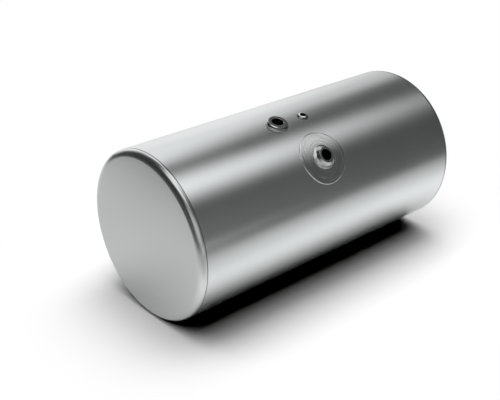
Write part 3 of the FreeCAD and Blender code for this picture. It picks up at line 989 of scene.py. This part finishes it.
@dataclass(frozen=True)
class ClosingSeam:
    """The weld that closes the rolled sheet, along the side away from the filler."""

    bead: Bead = Bead("closing_seam_weld", 8.0, 0.8, ripple_mm=2.8, ripple_depth_mm=0.18, bow=0.3)
    degrees: float = -112.0
    end_mm: float = 1.5
    steps: int = 60

    def build(self, drum: Drum, finish: Material) -> None:
        """Lays the bead from one end of the shell to the other."""
        a = math.radians(self.degrees)
        out = Vector((0.0, -math.sin(a), math.cos(a)))
        half = drum.seam_x - self.end_mm * MM
        foot = Vector((0.0, 0.0, drum.centre_z)) + out * drum.radius
        path = [foot + ALONG * (half * (2.0 * i / self.steps - 1.0)) for i in range(self.steps + 1)]
        self.bead.lay(path, [out] * len(path), False, finish, Slot.SHELL)


@dataclass(frozen=True)
class Thread:
    """The thread in a port's bore: one ridge that winds down it.

    bore_mm is the radius at the ridge's crest. The bore behind it is wider by
    depth_mm, which is also how far the ridge stands in. root_share and crest_share
    are the ridge's widths as shares of the pitch.
    """

    name: str
    mount: str
    bore_mm: float
    low_mm: float
    high_mm: float
    pitch_mm: float
    depth_mm: float
    root_share: float = 0.94
    crest_share: float = 0.125
    turn_steps: int = 96

    def tree(self) -> Tree:
        """Builds the tree that winds the ridge about Z, from 0 upwards."""
        tree, given = recipe(self.name + "_winding", ("Radius", "Pitch", "Depth", "Length"))
        turns = add_node(tree, MATH, {0: given["Length"], 1: given["Pitch"]},
                         operation="DIVIDE")[0]
        line = add_node(tree, "GeometryNodeCurveSpiral", {
            "Rotations": turns, "Start Radius": given["Radius"], "End Radius": given["Radius"],
            "Height": given["Length"], "Resolution": self.turn_steps})[0]
        line = add_node(tree, "GeometryNodeSetCurveNormal", {"Curve": line}, mode="Z_UP")[0]
        root, crest = (
            add_node(tree, MATH, {0: given["Pitch"], 1: share}, operation="MULTIPLY")[0]
            for share in (self.root_share, self.crest_share))
        ridge = add_node(tree, "GeometryNodeCurvePrimitiveQuadrilateral", {
            "Bottom Width": root, "Top Width": crest, "Height": given["Depth"],
            "Offset": 0.0}, mode="TRAPEZOID")[0]
        ridge = add_node(tree, "GeometryNodeTransform", {
            "Geometry": ridge, "Rotation": (0.0, 0.0, math.pi / 2.0)})[0]
        wound = add_node(tree, "GeometryNodeCurveToMesh",
                         {"Curve": line, "Profile Curve": ridge, "Fill Caps": True})[0]
        end_recipe(tree, wound, given["Finish"])
        return tree

    def build(self, drum: Drum, finish: Material) -> None:
        """Winds the ridge, stands it in its bore and seats it."""
        piece = placed(self.name, bpy.data.meshes.new(self.name))
        middle = self.bore_mm + self.depth_mm / 2.0
        run_recipe(piece, self.tree(), {
            "Radius": middle * MM, "Pitch": self.pitch_mm * MM, "Depth": self.depth_mm * MM,
            "Length": (self.high_mm - self.low_mm - self.pitch_mm) * MM, "Finish": finish,
        })
        foot = drum.radius + (self.low_mm + self.pitch_mm / 2.0) * MM
        piece.data.transform(drum.port(self.mount) @ Matrix.Translation((0.0, 0.0, foot)))
        piece.data.set_sharp_from_angle(angle=SHARP_ANGLE)
        seated(piece, Slot.FITTING)


THREADS = (
    Thread("sender_bore_thread", "sender_thread", 20.2, 1.0, 9.5, 1.5, 0.9),
    Thread("vent_bore_thread", "vent_thread", 10.2, 1.0, 5.0, 1.25, 0.7),
)


# Studio


@dataclass(frozen=True)
class Softbox:
    """A glow in the studio that the metal reflects, far off in one direction.

    Angles are in degrees. The glow fades over edge, and has half its level where
    half_width and half_height end. A board that takes light away has a level below 0.
    """

    azimuth: float
    elevation: float
    half_width: float
    half_height: float
    edge: float
    level: float

    def glow(self, tree: Tree, ray: Socket) -> Socket:
        """Returns the box's share of light along a ray.

        Args:
            tree: The world's node tree.
            ray: The direction looked in.

        Returns:
            The level inside the box, fading to nothing over its edge.
        """
        a, e = math.radians(self.azimuth), math.radians(self.elevation)
        ahead = Vector((math.cos(e) * math.cos(a), math.cos(e) * math.sin(a), math.sin(e)))
        side = Vector((-math.sin(a), math.cos(a), 0.0))
        onward, *aside = [
            add_node(tree, VECTOR, {0: ray, 1: tuple(axis)}, operation="DOT_PRODUCT")["Value"]
            for axis in (ahead, side, ahead.cross(side))]
        light: object = self.level
        for off, half in zip(aside, (self.half_width, self.half_height)):
            angle = add_node(tree, MATH, {0: off, 1: onward}, operation="ARCTAN2")[0]
            angle = add_node(tree, MATH, {0: angle}, operation="ABSOLUTE")[0]
            step = add_node(tree, RANGE, {
                "Value": angle, "From Min": math.radians(half - self.edge / 2.0),
                "From Max": math.radians(half + self.edge / 2.0), "To Min": 1.0, "To Max": 0.0},
                interpolation_type="SMOOTHSTEP")[0]
            light = add_node(tree, MATH, {0: light, 1: step}, operation="MULTIPLY")[0]
        return light


@dataclass(frozen=True)
class Lamp:
    """A soft lamp overhead, whose glow in the metal is the world's own box."""

    name: str
    length: float
    width: float
    power: float
    place: tuple[float, float, float] = (0.3, 0.2, 3.3)

    def build(self) -> None:
        """Hangs the lamp."""
        data = bpy.data.lights.new(self.name, "AREA")
        data.shape = "RECTANGLE"
        data.size = self.length
        data.size_y = self.width
        data.energy = self.power
        lamp = placed(self.name, data)
        lamp.location = self.place
        lamp.visible_glossy = False
        lamp.visible_camera = False


@dataclass(frozen=True)
class Ramp:
    """A smooth change over the floor, from low to high between two places one way."""

    way: Point
    start: float
    end: float
    low: float
    high: float

    def build(self, tree: Tree, place: Socket) -> Socket:
        """Returns the ramp's value at a place."""
        gone = add_node(tree, VECTOR, {0: place, 1: (*self.way, 0.0)},
                        operation="DOT_PRODUCT")["Value"]
        return add_node(tree, RANGE, {
            "Value": gone, "From Min": self.start, "From Max": self.end,
            "To Min": self.low, "To Max": self.high}, interpolation_type="SMOOTHSTEP")[0]


@dataclass(frozen=True)
class Floor:
    """A pale sweep under the tank, white to the camera and dimmer far off in metal.

    Near the tank it is a pale surface that the lamps light. Far off it glows instead,
    so that it meets the white surround. Metal sees a floor that darkens to the left,
    where the studio ends, and glows most behind the tank.
    """

    radius: float = 14.0
    steps: int = 96
    seen_albedo: float = 1.12
    seen_fade: Point = (0.62, 1.12)
    metal_fade: Point = (0.3, 2.2)
    metal_stretch: tuple[float, float, float] = (0.45, 1.0, 0.0)
    dusk: Ramp = Ramp((-0.965, 0.26), 1.25, 2.3, 1.0, 0.08)
    shades: tuple[Ramp, ...] = (
        Ramp((0.0, 1.0), -0.75, -0.42, 0.88, 1.12),
        Ramp((0.0, 1.0), -0.4, 0.4, 1.0, 0.66),
        Ramp((-1.0, -0.35), 0.95, 1.5, 1.0, 0.62),
    )
    behind: Ramp = Ramp((0.3, 0.95), -0.2, 1.0, 0.125, 0.88)
    aside: Ramp = Ramp((0.76, -0.65), -0.15, 0.3, 1.0, 0.82)
    front: Ramp = Ramp((-0.72, -0.69), 0.75, 1.7, 0.0, 0.34)
    far_front: Ramp = Ramp((-0.72, -0.69), 2.4, 4.2, 0.0, 0.20)

    def build(self) -> None:
        """Lays the floor."""
        maker = MeshMaker()
        ring = [Vector((x, y, -FLOOR_DROP)) for x, y in circle(self.radius, self.steps)]
        maker.cap(maker.ring(ring), Vector((0.0, 0.0, -FLOOR_DROP)))
        piece = maker.build("studio_floor")
        if piece.data.polygons[0].normal.z < 0.0:
            piece.data.flip_normals()
        dress(piece, self.material())

    def material(self) -> Material:
        """Returns the floor's material, which camera and metal see differently."""
        material, tree = blank_material("pale_floor")
        place = add_node(tree, "ShaderNodeTexCoord")["Object"]
        path = add_node(tree, "ShaderNodeLightPath")
        seen = path["Is Camera Ray"]
        direct = add_node(tree, MATH, {0: path["Diffuse Depth"], 1: DIRECT},
                          operation="LESS_THAN")[0]
        dusk = self.dusk.build(tree, place)
        pale = dusk
        for shade in self.shades:
            pale = add_node(tree, MATH, {0: pale, 1: shade.build(tree, place)},
                            operation="MULTIPLY")[0]
        behind, aside, front, far_front = (ramp.build(tree, place) for ramp in (
            self.behind, self.aside, self.front, self.far_front))
        far = add_node(tree, MATH, {0: behind, 1: aside}, operation="MULTIPLY")[0]
        far = add_node(tree, MATH, {0: far, 1: front}, operation="ADD")[0]
        far = add_node(tree, MATH, {0: dusk, 1: far}, operation="MULTIPLY")[0]
        far = add_node(tree, MATH, {0: far, 1: far_front}, operation="ADD")[0]
        albedo, glow = (
            add_node(tree, MATH, {0: either(tree, seen, yes, no), 1: direct},
                     operation="MULTIPLY")[0]
            for yes, no in ((self.seen_albedo, pale), (1.0, far)))
        seen_fade, metal_fade = (self.fade(tree, place, *row) for row in (
            ((1.0, 1.0, 1.0), *self.seen_fade), (self.metal_stretch, *self.metal_fade)))
        fade = either(tree, seen, seen_fade, metal_fade)
        tint = add_node(tree, "ShaderNodeCombineXYZ", {0: albedo, 1: albedo, 2: albedo})[0]
        near = add_node(tree, "ShaderNodeBsdfDiffuse", {"Color": tint})[0]
        lit = add_node(tree, "ShaderNodeEmission", {"Strength": glow})[0]
        shader = add_node(tree, "ShaderNodeMixShader", {0: fade, 1: near, 2: lit})[0]
        add_node(tree, "ShaderNodeOutputMaterial", {"Surface": shader})
        material.cycles.emission_sampling = "NONE"
        return material

    @staticmethod
    def fade(tree: Tree, place: Socket, stretch: Sequence[float], start: float,
             end: float) -> Socket:
        """Returns 0 near the tank and 1 far off, between two distances."""
        spot = add_node(tree, VECTOR, {0: place, 1: stretch}, operation="MULTIPLY")[0]
        away = add_node(tree, VECTOR, {0: spot}, operation="LENGTH")["Value"]
        return add_node(tree, RANGE, {"Value": away, "From Min": start, "From Max": end},
                        interpolation_type="SMOOTHSTEP")[0]


@dataclass(frozen=True)
class Studio:
    """Pale floor, white surround, soft boxes, lamps and camera."""

    softboxes: tuple[Softbox, ...] = (
        Softbox(61.3, 4.6, 20.6, 62.0, 22.7, 0.87),
        Softbox(89.0, 8.0, 10.0, 42.0, 20.0, 0.64),
        Softbox(38.0, 50.0, 8.0, 8.0, 10.0, 0.26),
        Softbox(52.0, 24.0, 8.0, 5.0, 10.0, -0.09),
        Softbox(-24.4, 71.3, 13.4, 27.8, 22.0, 1.06),
        Softbox(-155.0, 62.0, 24.0, 13.0, 20.0, 1.08),
        Softbox(-126.0, 15.0, 29.0, 20.0, 25.0, 0.48),
        Softbox(-78.0, 8.0, 22.0, 22.0, 22.0, 0.09),
        Softbox(160.0, 0.0, 50.0, 60.0, 30.0, -0.058),
        Softbox(20.0, 45.0, 14.0, 6.0, 12.0, -0.03),
        Softbox(-28.0, 15.0, 12.0, 16.0, 16.0, -0.035),
        Softbox(82.0, 37.0, 15.0, 8.0, 12.0, -0.28),
        Softbox(35.0, 20.0, 5.0, 11.0, 7.0, 0.17),
    )
    room_level: float = 0.10
    # Three lamps, one inside the other, shape the shadow's soft edge
    lamps: tuple[Lamp, ...] = (
        Lamp("wide_lamp", 8.0, 4.2, 112.0),
        Lamp("core_lamp", 6.0, 2.76, 84.0),
        Lamp("middle_lamp", 3.6, 1.6, 43.0),
    )
    floor: Floor = Floor()
    lens_mm: float = 65.575
    sensor_mm: float = 36.0
    camera_place: tuple[float, float, float] = (-2.1912, -2.2797, 1.8006)
    camera_yaw: float = 48.258
    camera_pitch: float = -26.204

    def build(self) -> None:
        """Sets up everything around the tank."""
        self.world()
        self.floor.build()
        for lamp in self.lamps:
            lamp.build()
        self.camera()
        bpy.context.scene.view_settings.view_transform = "Standard"

    def world(self) -> None:
        """White for the camera, and the studio's glows for metal."""
        world = bpy.data.worlds.new("studio")
        bpy.context.scene.world = world
        world.use_nodes = True
        tree = world.node_tree
        tree.nodes.clear()
        ray = add_node(tree, "ShaderNodeTexCoord")["Generated"]
        total: object = self.room_level
        for box in self.softboxes:
            total = add_node(tree, MATH, {0: total, 1: box.glow(tree, ray)}, operation="ADD")[0]
        path = add_node(tree, "ShaderNodeLightPath")
        direct = add_node(tree, MATH, {0: path["Diffuse Depth"], 1: DIRECT},
                          operation="LESS_THAN")[0]
        metal = add_node(tree, MATH, {0: path["Is Glossy Ray"], 1: total},
                         operation="MULTIPLY")[0]
        metal = add_node(tree, MATH, {0: metal, 1: direct}, operation="MULTIPLY")[0]
        level = add_node(tree, MATH, {0: path["Is Camera Ray"], 1: metal}, operation="ADD")[0]
        level = add_node(tree, MATH, {0: level, 1: path["Is Transmission Ray"]},
                         operation="ADD")[0]
        back = add_node(tree, "ShaderNodeBackground",
                        {"Strength": level, "Color": (1.0, 1.0, 1.0, 1.0)})[0]
        add_node(tree, "ShaderNodeOutputWorld", {"Surface": back})

    def camera(self) -> None:
        """The camera, at the photograph's angle."""
        data = bpy.data.cameras.new("camera")
        data.lens = self.lens_mm
        data.sensor_width = self.sensor_mm
        camera = placed("camera", data)
        camera.location = self.camera_place
        camera.rotation_euler = (math.radians(90.0 + self.camera_pitch), 0.0,
                                 math.radians(self.camera_yaw - 90.0))
        bpy.context.scene.camera = camera


def dress_frame_nodes(materials: dict[str, Material]) -> None:
    """Gives the solids that keep their own mesh their finish.

    Args:
        materials: Node name to material.
    """
    for name, material in materials.items():
        dress(frame["nodes"][name], material)
        LOG.info("%s: %s", name, material.name)


def main() -> None:
    """Builds the tank's pieces in order, then the studio."""
    logging.basicConfig(level=logging.INFO, format="%(name)s: %(message)s")
    finishes = Finishes()
    drum = Drum.measured()
    Shell(drum).build(finishes.shell.build())
    head_finish = finishes.head.build()
    for side in (-1, 1):
        Head(drum, side).build(head_finish)
    FillerPad().build(drum, finishes.pad.build(drum.port("filler_bore")))
    for port, metal in ((FILLER_NECK, finishes.neck), (SENDER_BOSS, finishes.boss),
                        (VENT_BOSS, finishes.vent)):
        port.build(drum, metal.build(drum.port(port.mount)))
    weld = finishes.weld.build()
    shaded_weld = finishes.shaded_weld.build()
    # The darker weld is a painted shade round the vent's foot
    for foot in RING_BEADS:
        foot.build(drum, shaded_weld if foot.dark_painted else weld)
    ClosingSeam().build(drum, weld)
    # The threads' darker colour is a painted shade inside the bores
    shaded_thread_finish = finishes.thread.build()
    for thread in THREADS:
        thread.build(drum, shaded_thread_finish)
    mill = finishes.mill.build()
    dress_frame_nodes({
        "left_baffle": mill,
        "right_baffle": mill,
        "drain_boss": finishes.fitting.build(),
        "drain_washer": finishes.copper.build(),
        "drain_plug": finishes.zinc.build(),
    })
    Studio().build()


if __name__ == "__main__":
    main()
